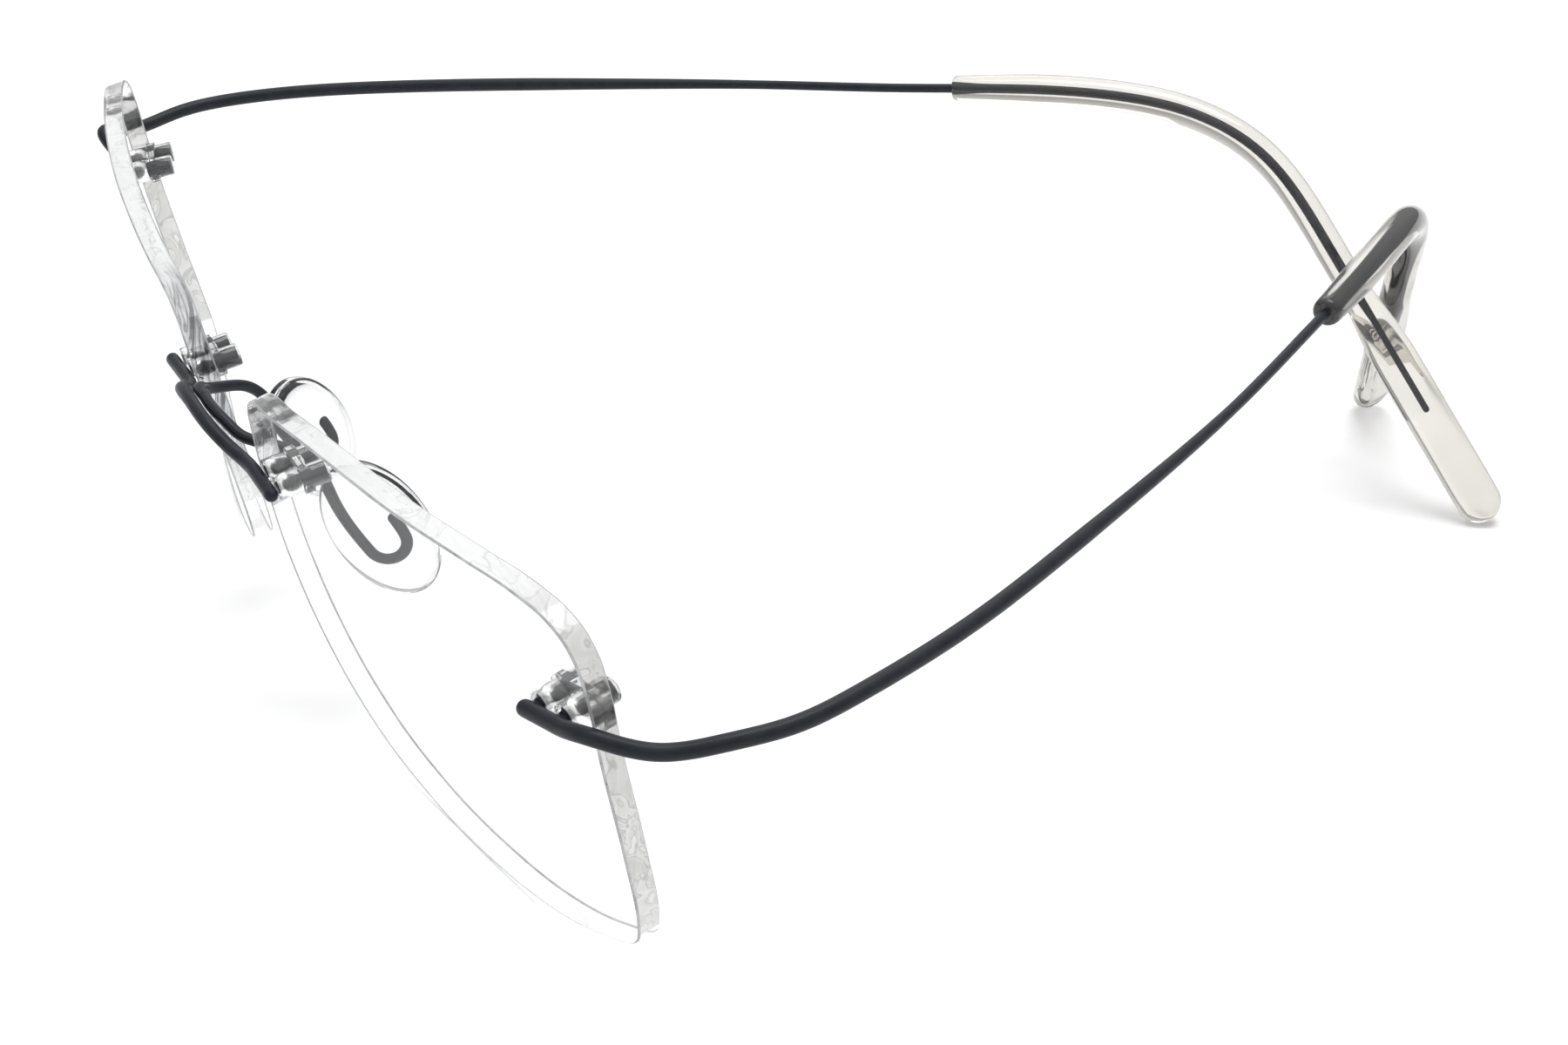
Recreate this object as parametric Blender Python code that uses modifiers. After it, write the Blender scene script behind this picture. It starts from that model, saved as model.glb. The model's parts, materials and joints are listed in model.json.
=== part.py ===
"""Rimless eyeglasses with hingeless wire temples.

Two curved lenses hang on bent wires. Each wire end lies on the front of a lens and holds it with
two pins, which sit in a clear twin bushing behind the lens. The temples are one wire each and flex
behind the lens edge, and the pad arms flex beside the bridge, so each flexing wire is two pieces
that meet in a ball end on the axis of its joint.

The design frame has +X to the wearer's left, -Y to the front and +Z up, its origin midway between
the lenses at the height of the bridge pins. The glasses stand on the lower edges of the lenses and
on the ends of the temple tips, which pitches that frame: the empty "stance" holds the pitch.
"""

import math

import bmesh
import bpy
import numpy as np
from mathutils import Euler, Matrix, Vector

MM = 0.001
LEFT, RIGHT = 1, -1
SIDE_NAMES = {LEFT: "left", RIGHT: "right"}

# How the finished glasses stand on the floor: roll about Y and pitch about X, then the shift that
# puts the middle of their footprint on the origin.
STANCE_PITCH = math.radians(6.562)
STANCE_ROLL = math.radians(0.504)
STANCE_SHIFT = Vector((-0.325, -58.996, 21.213)) * MM

# Lenses. LENS_CENTRE is the front vertex of the left lens.
LENS_CENTRE = Vector((33.7, 2.2, -5.6)) * MM
FACE_WRAP = math.radians(7.65)
LENS_ROLL = math.radians(0.9)
PANTOSCOPIC_TILT = math.radians(8.6)
# The springy bridge lets the right lens sag and turn a little about its own end of the bridge:
# angles about X, Y and Z.
LENS_SAG = {
    LEFT: (0.0, 0.0, 0.0),
    RIGHT: (math.radians(1.0), math.radians(-2.2), math.radians(-2.0)),
}
BRIDGE_SEAT = Vector((11.5, -0.75, 0.0)) * MM
BASE_RADIUS = 173.0 * MM
LENS_THICKNESS = 1.8 * MM
BLANK_RADIUS = 34.0 * MM
BLANK_RINGS = 6
BLANK_STEPS = 40
OUTLINE_STEPS = 4
# Reach of the edging prism and the drills past the lens.
CUT_HALF_DEPTH = 12 * MM
DRILL_TOP, DRILL_BOTTOM = 3 * MM, -5 * MM
LENS_OUTLINE = (
    (26.1, 6.0), (26.0, 11.0), (25.2, 13.7), (23.5, 15.3), (20.0, 16.2), (14.0, 16.3),
    (6.0, 15.9), (-8.0, 14.9), (-17.5, 13.2), (-22.8, 12.0), (-24.6, 10.6), (-25.4, 7.5),
    (-25.9, 1.5),
    (-25.6, -4.5), (-22.5, -10.5), (-16.5, -14.3), (-8.0, -16.0), (3.0, -16.3),
    (13.5, -15.3), (20.5, -13.2), (23.8, -11.6), (25.0, -9.4), (26.0, -3.0),
)

# Pins and twin bushings. The pin places are (across, up) on the lens, from its vertex.
PIN_PITCH = 2.8 * MM
PIN_PAIR = (-PIN_PITCH / 2, PIN_PITCH / 2)
BRIDGE_PINS = Vector((-22.5, 5.2)) * MM
TEMPLE_PINS = Vector((21.5, 7.8)) * MM
# How far each pair of pins rises outward.
PIN_SLOPE = {"bridge": 0.0, "temple": math.radians(5.5)}
WIRE_STANDOFF = 0.12 * MM
WIRE_LEAD = 0.6 * MM
PIN_RADIUS = 0.5 * MM
PIN_REACH = 2.1 * MM
BUSHING_RADIUS = 0.95 * MM
BUSHING_BORE = 0.58 * MM
BUSHING_REACH = 2.3 * MM
BUSHING_BELOW_FRONT = 0.1 * MM
LENS_HOLE_RADIUS = 1.05 * MM
WEB_GAP = 0.1 * MM
WEB_THICKNESS = 0.8 * MM
WEB_HALF_WIDTH = 1.25 * MM
WEB_END_STEPS = 8
PIN_SIDES = 12

# Bridge, from its middle out to the left lens; the rest lies on the lens.
BRIDGE_RADIUS = 0.55 * MM
BRIDGE_END = 1.2 * MM
BRIDGE_ARCH = (
    (0.0, -2.65, 2.6), (2.2, -2.6, 2.4), (4.2, -2.25, 1.8), (5.6, -1.6, 0.9), (7.2, -0.95, 0.25),
)

# Pad wire, brazed behind the bridge arch, and the pad arms that go on from it.
PAD_WIRE_RADIUS = 0.47 * MM
PAD_WIRE_ARCH = ((0.0, -1.5, 2.6), (2.1, -1.4, 2.35), (3.5, -0.95, 1.8))
PAD_FLEX = Vector((4.7, -0.25, 1.0)) * MM
PAD_ARM = ((5.8, 1.6, 0.2), (6.8, 3.7, -0.9), (7.2, 5.0, -2.6))

# Nose pads: (up, back) in the plane of the pad, from its middle.
PAD_CENTRE = Vector((8.9, 8.6, -7.8)) * MM
PAD_NORMAL = Vector((-0.89, 0.45, 0.01))
PAD_UP = Vector((-0.18, -0.39, 0.90))
PAD_HALF_LENGTH = 6.4 * MM
PAD_HALF_WIDTH = 4.0 * MM
PAD_LAYERS = ((-1.2, 0.80), (-0.9, 0.93), (-0.3, 1.0), (0.3, 1.0), (0.9, 0.93), (1.2, 0.80))
PAD_STEPS = 28
HOOK_LEG_TOP = 4.0 * MM
HOOK_RADIUS = 1.6 * MM
HOOK_MIDDLE = Vector((-1.1, -0.1)) * MM
HOOK_END = 0.9 * MM
HOOK_TURNS = 8
HOOK_CLEARANCE = 0.12 * MM
CHANNEL_LENGTH = 22 * MM

# Temples, left side. The wire leaves its pins on the lens, rounds the edge and runs back.
TEMPLE_RADIUS = 0.62 * MM
TEMPLE_THIN_RADIUS = 0.43 * MM
TEMPLE_THINS_FROM = 46.0 * MM
TEMPLE_THINS_TO = 66.0 * MM
TEMPLE_END = 1.1 * MM
TEMPLE_ROUNDS_EDGE = ((59.6, 6.0, 2.55), (61.0, 7.7, 2.0))
TEMPLE_FLEX = Vector((62.0, 9.7, 1.4)) * MM
TEMPLE_RUN = (
    (63.6, 14.0, 1.6), (64.1, 18.4, 1.7), (63.1, 23.6, 1.8), (59.2, 34.3, 1.8), (53.9, 45.0, 1.8),
    (48.0, 56.0, 1.75), (41.7, 66.9, 1.7), (34.5, 78.0, 1.7),
)
# The ear bends differ a little, and past them each tip runs straight.
EAR_BEND = {
    LEFT: (
        (26.7, 89.5, 1.6), (22.6, 94.9, 1.3), (18.3, 99.7, 0.0), (13.4, 103.9, -3.6),
        (7.6, 107.5, -10.2),
    ),
    RIGHT: (
        (26.7, 89.7, 1.9), (22.5, 95.3, 1.6), (18.0, 100.4, 0.5), (13.1, 105.0, -2.7),
        (7.3, 108.35, -9.55),
    ),
}
TIP_DIRECTION = {LEFT: Vector((-0.553, 0.313, -0.772)), RIGHT: Vector((-0.554, 0.284, -0.783))}
TIP_STRAIGHT = 30.7 * MM
CORE_RADIUS = 0.3 * MM
CORE_THINS_OVER = 3.0 * MM
CORE_END_FROM_TIP = 11.0 * MM
# The tips cross, so the right temple rests swung further in than the left one.
REST_SWING = {LEFT: 0.0, RIGHT: math.radians(4.1)}
FLEX_GAP = 0.3 * MM
TIP_STEPS = 31

# Clear sleeves over the rear of the temple wires.
SLEEVE_LENGTH = 71.0 * MM
SLEEVE_RADIUS = 1.45 * MM
SLEEVE_MOUTH_RADIUS = 1.2 * MM
SLEEVE_BORE = 0.55 * MM
PADDLE_HALF_WIDTH = 2.15 * MM
PADDLE_HALF_THICKNESS = 1.1 * MM
PADDLE_LENGTH = 17.0 * MM
PADDLE_TAPER = 9.0 * MM
SLEEVE_STEPS = 16
# Rings near the mouth as (from the mouth in mm, size), and then how the rest are spaced.
MOUTH_RINGS = ((0.0, 0.72), (0.25, 0.9), (0.7, 1.0), (1.5, 1.0))
MOUTH_GROWS_OVER = 8 * MM
SLEEVE_RUN_FROM = 3.5 * MM
SLEEVE_RUN_BEFORE_TIP = 4.0 * MM
SLEEVE_RUN_RINGS = 26
SLEEVE_LAST_BEFORE_TIP = 2.4 * MM
PADDLE_END_ANGLES = (25, 45, 62, 76, 87)
SLEEVE_TANGENT_REACH = 0.4 * MM
BORE_PAST_MOUTH = 3 * MM
BORE_PAST_CORE = 0.3 * MM

# Spacing of the points along the wires; the pad wire's paths keep every so many of theirs.
FINE_STEP = 0.2 * MM
PAD_WIRE_STEP = 0.15 * MM
PAD_CENTRE_KEEPS, PAD_ARM_KEEPS, PAD_CHANNEL_KEEPS = 6, 7, 5
BRIDGE_STEP = 0.9 * MM
ROOT_STEP = 0.8 * MM
WIRE_STEP = 2.4 * MM
ROUND_END_ANGLES = (15, 35, 60, 90)
WELD = 1e-6
SHARP_ANGLE = math.radians(40)


# ---------------------------------------------------------------- scene helpers

def clear_scene():
    for obj in list(bpy.data.objects):
        bpy.data.objects.remove(obj, do_unlink=True)


def collection(name):
    made = bpy.data.collections.new(name)
    bpy.context.scene.collection.children.link(made)
    return made


def material(name, colour, roughness, metallic=0.0, transmission=0.0):
    made = bpy.data.materials.new(name)
    made.use_nodes = True
    shader = made.node_tree.nodes["Principled BSDF"]
    shader.inputs["Base Color"].default_value = (*colour, 1.0)
    shader.inputs["Roughness"].default_value = roughness
    shader.inputs["Metallic"].default_value = metallic
    shader.inputs["Transmission Weight"].default_value = transmission
    return made


def empty(name, parent, place=Vector(), turn=0.0):
    """An axis for what hangs on it: its Z is the joint axis, and it may rest turned about it."""
    made = bpy.data.objects.new(name, None)
    made.location = place
    made.rotation_euler.z = turn
    made.parent = parent
    PARTS.objects.link(made)
    return made


def place(obj, name, look, parent):
    """Name a finished object and hang it on its empty; its mesh is in the design frame."""
    obj.name = name
    obj.data.name = name
    obj.data.materials.clear()
    obj.data.materials.append(look)
    obj.parent = parent
    if parent.parent is not None:
        obj.matrix_parent_inverse = Matrix.Translation(-parent.location)
    for used in list(obj.users_collection):
        used.objects.unlink(obj)
    PARTS.objects.link(obj)
    if obj.type == "MESH":
        obj.data.shade_smooth()
        obj.data.set_sharp_from_angle(angle=SHARP_ANGLE)
    return obj


def mesh_object(bm, name):
    bmesh.ops.recalc_face_normals(bm, faces=bm.faces)
    mesh = bpy.data.meshes.new(name)
    bm.to_mesh(mesh)
    bm.free()
    made = bpy.data.objects.new(name, mesh)
    CUTTERS.objects.link(made)
    return made


def to_mesh(obj):
    """The evaluated shape of a curve or a modified mesh, as a plain welded mesh object."""
    graph = bpy.context.evaluated_depsgraph_get()
    mesh = bpy.data.meshes.new_from_object(obj.evaluated_get(graph))
    mesh.transform(obj.matrix_world)
    bm = bmesh.new()
    bm.from_mesh(mesh)
    bmesh.ops.remove_doubles(bm, verts=bm.verts, dist=WELD)
    made = mesh_object(bm, obj.name)
    bpy.data.objects.remove(obj)
    return made


def combine(obj, other, operation):
    """One exact Boolean, applied at once; the other object is used up."""
    step = obj.modifiers.new(operation.lower(), "BOOLEAN")
    step.operation = operation
    step.object = other
    step.solver = "EXACT"
    made = to_mesh(obj)
    bpy.data.objects.remove(other)
    return made


# ---------------------------------------------------------------- curves

def smooth(points, step):
    """Evenly spaced points on the natural cubic spline through the given ones."""
    given = np.array([tuple(point) for point in points], float)
    knots = np.concatenate([[0.0], np.cumsum(np.linalg.norm(np.diff(given, axis=0), axis=1))])
    gaps = np.diff(knots)
    count = len(given)
    system = np.eye(count)
    right = np.zeros((count, 3))
    for i in range(1, count - 1):
        system[i, i - 1:i + 2] = gaps[i - 1], 2 * (gaps[i - 1] + gaps[i]), gaps[i]
        slopes = (given[i + 1] - given[i]) / gaps[i] - (given[i] - given[i - 1]) / gaps[i - 1]
        right[i] = 6 * slopes
    bend = np.linalg.solve(system, right)
    wanted = np.linspace(0, knots[-1], max(2, round(knots[-1] / step) + 1))
    span = np.clip(np.searchsorted(knots, wanted, side="right") - 1, 0, count - 2)
    gap = gaps[span][:, None]
    after = (wanted - knots[span])[:, None]
    before = gap - after
    path = (bend[span] * before**3 + bend[span + 1] * after**3) / (6 * gap)
    path += (given[span] / gap - bend[span] * gap / 6) * before
    path += (given[span + 1] / gap - bend[span + 1] * gap / 6) * after
    return path


def lengths(path):
    return np.concatenate([[0.0], np.cumsum(np.linalg.norm(np.diff(path, axis=0), axis=1))])


def at_length(path, wanted):
    along = lengths(path)
    return np.stack([np.interp(wanted, along, path[:, i]) for i in range(3)], axis=-1)


def cut_path(path, start, end):
    """The stretch of a path between two lengths along it."""
    along = lengths(path)
    inner = path[(along > start + 1e-5) & (along < end - 1e-5)]
    return np.vstack([at_length(path, start), inner, at_length(path, end)])


def nearest_length(path, point):
    return lengths(path)[np.linalg.norm(path - np.array(point), axis=1).argmin()]


def round_off(path, radii):
    """Give the last stretch of a path a ball end: the radius closes to nearly nothing."""
    total = lengths(path)[-1]
    radius = radii[-1]
    body = lengths(path) < total - radius
    angles = np.radians(ROUND_END_ANGLES[::-1])
    ends = at_length(path, total - radius * (1 - np.cos(angles)))
    return (
        np.vstack([path[body], ends]),
        np.concatenate([radii[body], radius * np.sin(angles)]),
    )


def wire(name, path, radii, round_start=False, round_end=False):
    """A round wire along the path, as a curve object."""
    radii = np.broadcast_to(radii, len(path)).astype(float)
    if round_end:
        path, radii = round_off(path, radii)
    if round_start:
        path, radii = round_off(path[::-1], radii[::-1])
    curve = bpy.data.curves.new(name, "CURVE")
    curve.dimensions = "3D"
    curve.bevel_depth = 1.0
    curve.bevel_resolution = 2
    curve.use_fill_caps = True
    spline = curve.splines.new("POLY")
    spline.points.add(len(path) - 1)
    for point, spot, radius in zip(spline.points, path, radii):
        point.co = (*spot, 1.0)
        point.radius = radius
    made = bpy.data.objects.new(name, curve)
    CUTTERS.objects.link(made)
    return made


def loft(name, rings):
    """A closed solid through rings of equally many points."""
    bm = bmesh.new()
    layers = [[bm.verts.new(spot) for spot in ring] for ring in rings]
    for lower, upper in zip(layers, layers[1:]):
        for i in range(len(lower)):
            j = (i + 1) % len(lower)
            bm.faces.new((lower[i], lower[j], upper[j], upper[i]))
    bm.faces.new(layers[0])
    bm.faces.new(layers[-1])
    return mesh_object(bm, name)


# ---------------------------------------------------------------- lenses

def lens_frame(side):
    """Design-frame matrix of a lens: local X outward to the left, Y up, Z out of the front."""
    centre = Vector((side * LENS_CENTRE.x, LENS_CENTRE.y, LENS_CENTRE.z))
    turn = Euler((PANTOSCOPIC_TILT, side * LENS_ROLL, side * FACE_WRAP), "XYZ").to_matrix()
    rest = Matrix.Translation(centre) @ turn.to_4x4() @ Matrix.Rotation(math.pi / 2, 4, "X")
    pivot = Matrix.Translation((side * BRIDGE_SEAT.x, BRIDGE_SEAT.y, BRIDGE_SEAT.z))
    sag = Euler(LENS_SAG[side], "XYZ").to_matrix().to_4x4()
    return pivot @ sag @ pivot.inverted() @ rest


def front_height(across, up):
    """Height of the front surface over the plane through its vertex."""
    return -(BASE_RADIUS - math.sqrt(BASE_RADIUS**2 - across**2 - up**2))


def seat(side, middle):
    """Matrix of a pair of pins: Z straight out of the front surface, X along the pair."""
    across, up = side * middle.x, middle.y
    depth = math.sqrt(BASE_RADIUS**2 - across**2 - up**2)
    turn = Vector((0, 0, 1)).rotation_difference(Vector((across, up, depth)))
    spot = Matrix.Translation((across, up, depth - BASE_RADIUS))
    slope = PIN_SLOPE["temple" if middle.x > 0 else "bridge"]
    rise = Matrix.Rotation(side * slope, 4, "Z")
    return lens_frame(side) @ spot @ turn.to_matrix().to_4x4() @ rise


def lens_blank():
    """The round meniscus that the lens is edged from, turned about the optical axis."""
    bm = bmesh.new()
    stations = [BLANK_RADIUS * i / BLANK_RINGS for i in range(BLANK_RINGS + 1)]
    front = [(r, front_height(r, 0)) for r in stations]
    back = [(r, height - LENS_THICKNESS) for r, height in reversed(front)]
    verts = [bm.verts.new((r, 0, height)) for r, height in front + back]
    for lower, upper in zip(verts, verts[1:]):
        bm.edges.new((lower, upper))
    mesh = bpy.data.meshes.new("blank")
    bm.to_mesh(mesh)
    bm.free()
    blank = bpy.data.objects.new("blank", mesh)
    CUTTERS.objects.link(blank)
    turned = blank.modifiers.new("turn", "SCREW")
    turned.steps = turned.render_steps = BLANK_STEPS
    turned.use_merge_vertices = True
    turned.merge_threshold = 0.00001
    return to_mesh(blank)


def outline_prism(side):
    """The lens shape as a tall prism, from a smooth closed outline."""
    curve = bpy.data.curves.new("outline", "CURVE")
    curve.dimensions = "2D"
    curve.fill_mode = "BOTH"
    curve.resolution_u = OUTLINE_STEPS
    curve.extrude = CUT_HALF_DEPTH
    spline = curve.splines.new("BEZIER")
    spline.bezier_points.add(len(LENS_OUTLINE) - 1)
    for point, (across, up) in zip(spline.bezier_points, LENS_OUTLINE):
        point.co = (side * across * MM, up * MM, 0)
        point.handle_left_type = point.handle_right_type = "AUTO"
    spline.use_cyclic_u = True
    prism = bpy.data.objects.new("outline", curve)
    CUTTERS.objects.link(prism)
    return to_mesh(prism)


def cylinder(name, frame, across, radius, top, bottom, sides=16):
    """A cylinder square to the lens, between two heights over its front surface."""
    bm = bmesh.new()
    bmesh.ops.create_cone(
        bm, cap_ends=True, segments=sides, radius1=radius, radius2=radius, depth=top - bottom
    )
    bmesh.ops.translate(bm, verts=bm.verts, vec=(across, 0, (top + bottom) / 2))
    bmesh.ops.transform(bm, matrix=frame, verts=bm.verts)
    return mesh_object(bm, name)


def lens(side):
    edged = combine(lens_blank(), outline_prism(side), "INTERSECT")
    edged.data.transform(lens_frame(side))
    for middle in (BRIDGE_PINS, TEMPLE_PINS):
        for across in PIN_PAIR:
            hole = cylinder(
                "hole", seat(side, middle), across, LENS_HOLE_RADIUS, DRILL_TOP, DRILL_BOTTOM
            )
            edged = combine(edged, hole, "DIFFERENCE")
    return place(edged, f"lens_{SIDE_NAMES[side]}", CLEAR_LENS, STANCE)


def pin_set(side, middle, joint_name):
    """Two pins behind a wire end and the clear twin bushing that holds them in the lens."""
    label = f"{joint_name}_{SIDE_NAMES[side]}"
    frame = seat(side, middle)
    back = -LENS_THICKNESS
    for across, which in zip(PIN_PAIR, ("inner", "outer")):
        pin = cylinder(
            "pin", frame, side * across, PIN_RADIUS, 0.0, back - PIN_REACH, sides=PIN_SIDES
        )
        place(pin, f"pin_{label}_{which}", WIRE_METAL, STANCE)
    bushing = web_plate(frame)
    for across in PIN_PAIR:
        tube = cylinder(
            "tube", frame, across, BUSHING_RADIUS, -BUSHING_BELOW_FRONT, back - BUSHING_REACH
        )
        bushing = combine(bushing, tube, "UNION")
    for across in PIN_PAIR:
        bore = cylinder("bore", frame, across, BUSHING_BORE, DRILL_TOP, back - 2 * BUSHING_REACH)
        bushing = combine(bushing, bore, "DIFFERENCE")
    place(bushing, f"bushing_{label}", CLEAR_PLASTIC, STANCE)


def web_plate(frame):
    """The plate with round ends that joins the two tubes of a bushing behind the lens."""
    rim = []
    for end in (1, -1):
        for i in range(WEB_END_STEPS + 1):
            angle = math.pi * (i / WEB_END_STEPS - 0.5) + (0 if end == 1 else math.pi)
            across = end * PIN_PITCH / 2 + WEB_HALF_WIDTH * math.cos(angle)
            rim.append((across, WEB_HALF_WIDTH * math.sin(angle)))
    top = -LENS_THICKNESS - WEB_GAP
    heights = (top, top - WEB_THICKNESS)
    return loft("web", [[frame @ Vector((x, y, height)) for x, y in rim] for height in heights])


# ---------------------------------------------------------------- bridge and pads

def mirrored(points, side):
    return [Vector((side * x, y, z)) * MM for x, y, z in points]


def sided(point, side):
    return Vector((side * point.x, point.y, point.z))


def on_lens_run(side, middle, radius, ends):
    """The straight stretch of a wire that lies on the lens over its two pins."""
    frame = seat(side, middle)
    height = radius + WIRE_STANDOFF
    reach = (-PIN_PITCH / 2 - ends[0], *PIN_PAIR, PIN_PITCH / 2 + ends[1])
    return [frame @ Vector((side * across, 0, height)) for across in reach]


def bridge():
    half = mirrored(BRIDGE_ARCH, LEFT)
    half += on_lens_run(LEFT, BRIDGE_PINS, BRIDGE_RADIUS, (WIRE_LEAD, BRIDGE_END))
    points = [sided(point, RIGHT) for point in reversed(half[1:])] + half
    path = smooth(points, BRIDGE_STEP)
    bent = wire("bridge", path, BRIDGE_RADIUS, round_start=True, round_end=True)
    place(bent, "bridge_wire", WIRE_METAL, STANCE)


def pad_hook(side):
    """The hook of the pad arm inside the pad, from where it enters to its end."""
    low, back = HOOK_MIDDLE
    points = [pad_point(side, HOOK_LEG_TOP, back - HOOK_RADIUS)]
    for i in range(HOOK_TURNS + 1):
        angle = math.pi * i / HOOK_TURNS
        up = low - HOOK_RADIUS * math.sin(angle)
        points.append(pad_point(side, up, back - HOOK_RADIUS * math.cos(angle)))
    points.append(pad_point(side, HOOK_END, back + HOOK_RADIUS))
    return points


def pad_frame(side):
    """Design-frame axes of a nose pad: its face's normal, up along it, and back across it."""
    normal = sided(PAD_NORMAL, side).normalized()
    up = sided(PAD_UP, side)
    up = (up - up.dot(normal) * normal).normalized()
    back = normal.cross(up)
    if back.y < 0:
        back.negate()
    return normal, up, back


def pad_point(side, up, back, out=0.0):
    normal, upward, backward = pad_frame(side)
    return sided(PAD_CENTRE, side) + up * upward + back * backward + out * normal


def pad_wire_path(side):
    """The whole pad wire of one side, from the middle of the arch to the end of its hook."""
    points = mirrored(PAD_WIRE_ARCH, side) + [sided(PAD_FLEX, side)] + mirrored(PAD_ARM, side)
    return smooth(points + pad_hook(side), PAD_WIRE_STEP)


def pad_wire_centre():
    """The brazed middle of the pad wire, which ends short of the two flexing arms."""
    half = pad_wire_path(LEFT)
    reach = nearest_length(half, PAD_FLEX) - PAD_WIRE_RADIUS - FLEX_GAP
    half = cut_path(half, 0.0, reach)
    half = np.vstack([half[:-1:PAD_CENTRE_KEEPS], half[-1]])
    path = np.vstack([half[:0:-1] * (-1, 1, 1), half])
    place(wire("centre", path, PAD_WIRE_RADIUS), "pad_wire_centre", WIRE_METAL, STANCE)


def pad_arm(side, flex):
    whole = pad_wire_path(side)
    start = nearest_length(whole, sided(PAD_FLEX, side)) - PAD_WIRE_RADIUS
    path = cut_path(whole, start, lengths(whole)[-1])
    path = np.vstack([path[:-1:PAD_ARM_KEEPS], path[-1]])
    arm = wire("arm", path, PAD_WIRE_RADIUS, round_start=True, round_end=True)
    place(arm, f"pad_arm_{SIDE_NAMES[side]}", WIRE_METAL, flex)


def nose_pad(side, flex):
    rings = []
    for out, size in PAD_LAYERS:
        ring = []
        for i in range(PAD_STEPS):
            angle = 2 * math.pi * i / PAD_STEPS
            up = size * PAD_HALF_LENGTH * math.cos(angle)
            back = size * PAD_HALF_WIDTH * math.sin(angle)
            ring.append(pad_point(side, up, back, out * MM))
        rings.append(ring)
    body = loft("pad", rings)
    whole = pad_wire_path(side)
    total = lengths(whole)[-1]
    inside = cut_path(whole, total - CHANNEL_LENGTH, total)
    inside = np.vstack([inside[:-1:PAD_CHANNEL_KEEPS], inside[-1]])
    tangent = inside[-1] - inside[-2]
    inside[-1] += tangent / np.linalg.norm(tangent) * HOOK_CLEARANCE
    channel = to_mesh(wire("channel", inside, PAD_WIRE_RADIUS + HOOK_CLEARANCE))
    body = combine(body, channel, "DIFFERENCE")
    place(body, f"nose_pad_{SIDE_NAMES[side]}", CLEAR_PLASTIC, flex)


# ---------------------------------------------------------------- temples

def temple_path(side):
    """Centre line of a whole temple, from its end on the lens to the end of its tip."""
    points = on_lens_run(side, TEMPLE_PINS, TEMPLE_RADIUS, (TEMPLE_END, WIRE_LEAD))
    points += mirrored(TEMPLE_ROUNDS_EDGE, side) + [sided(TEMPLE_FLEX, side)]
    points += mirrored(TEMPLE_RUN + EAR_BEND[side], side)
    path = smooth(points, FINE_STEP)
    direction = np.array(sided(TIP_DIRECTION[side], side).normalized())
    steps = np.linspace(0, TIP_STRAIGHT, TIP_STEPS)[1:, None]
    return np.vstack([path, path[-1] + steps * direction])


def temple_radii(path, along):
    """The wire thins from its front stretch to its rear one, and again inside the sleeve."""
    share = (path[:, 1] - TEMPLE_THINS_FROM) / (TEMPLE_THINS_TO - TEMPLE_THINS_FROM)
    radii = TEMPLE_RADIUS + (TEMPLE_THIN_RADIUS - TEMPLE_RADIUS) * np.clip(share, 0, 1)
    inside = np.clip(along / CORE_THINS_OVER, 0, 1)
    return radii + (CORE_RADIUS - TEMPLE_THIN_RADIUS) * inside


def coarse(path, step):
    total = lengths(path)[-1]
    return at_length(path, np.linspace(0, total, max(3, round(total / step) + 1)))


def temple_root(side):
    whole = temple_path(side)
    reach = nearest_length(whole, sided(TEMPLE_FLEX, side)) - TEMPLE_RADIUS - FLEX_GAP
    path = coarse(cut_path(whole, 0.0, reach), ROOT_STEP)
    root = wire("root", path, TEMPLE_RADIUS, round_start=True)
    place(root, f"temple_root_{SIDE_NAMES[side]}", WIRE_METAL, STANCE)


def temple_wire(side, flex):
    whole = temple_path(side)
    start = nearest_length(whole, sided(TEMPLE_FLEX, side)) - TEMPLE_RADIUS
    end = lengths(whole)[-1] - CORE_END_FROM_TIP
    path = coarse(cut_path(whole, start, end), WIRE_STEP)
    past_mouth = lengths(path) + start - (lengths(whole)[-1] - SLEEVE_LENGTH)
    radii = temple_radii(path, past_mouth)
    bent = wire("temple", path, radii, round_start=True, round_end=True)
    place(bent, f"temple_wire_{SIDE_NAMES[side]}", WIRE_METAL, flex)


def sleeve_section(from_mouth, total):
    """Half width and half thickness of the sleeve at a length from its mouth."""
    to_tip = total - from_mouth
    wide = np.clip((PADDLE_LENGTH + PADDLE_TAPER - to_tip) / PADDLE_TAPER, 0, 1)
    mouth = np.clip(from_mouth / MOUTH_GROWS_OVER, 0, 1)
    radius = SLEEVE_MOUTH_RADIUS + (SLEEVE_RADIUS - SLEEVE_MOUTH_RADIUS) * mouth
    half_width = radius + (PADDLE_HALF_WIDTH - radius) * wide
    half_thickness = radius + (PADDLE_HALF_THICKNESS - radius) * wide
    return half_width, half_thickness


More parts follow.
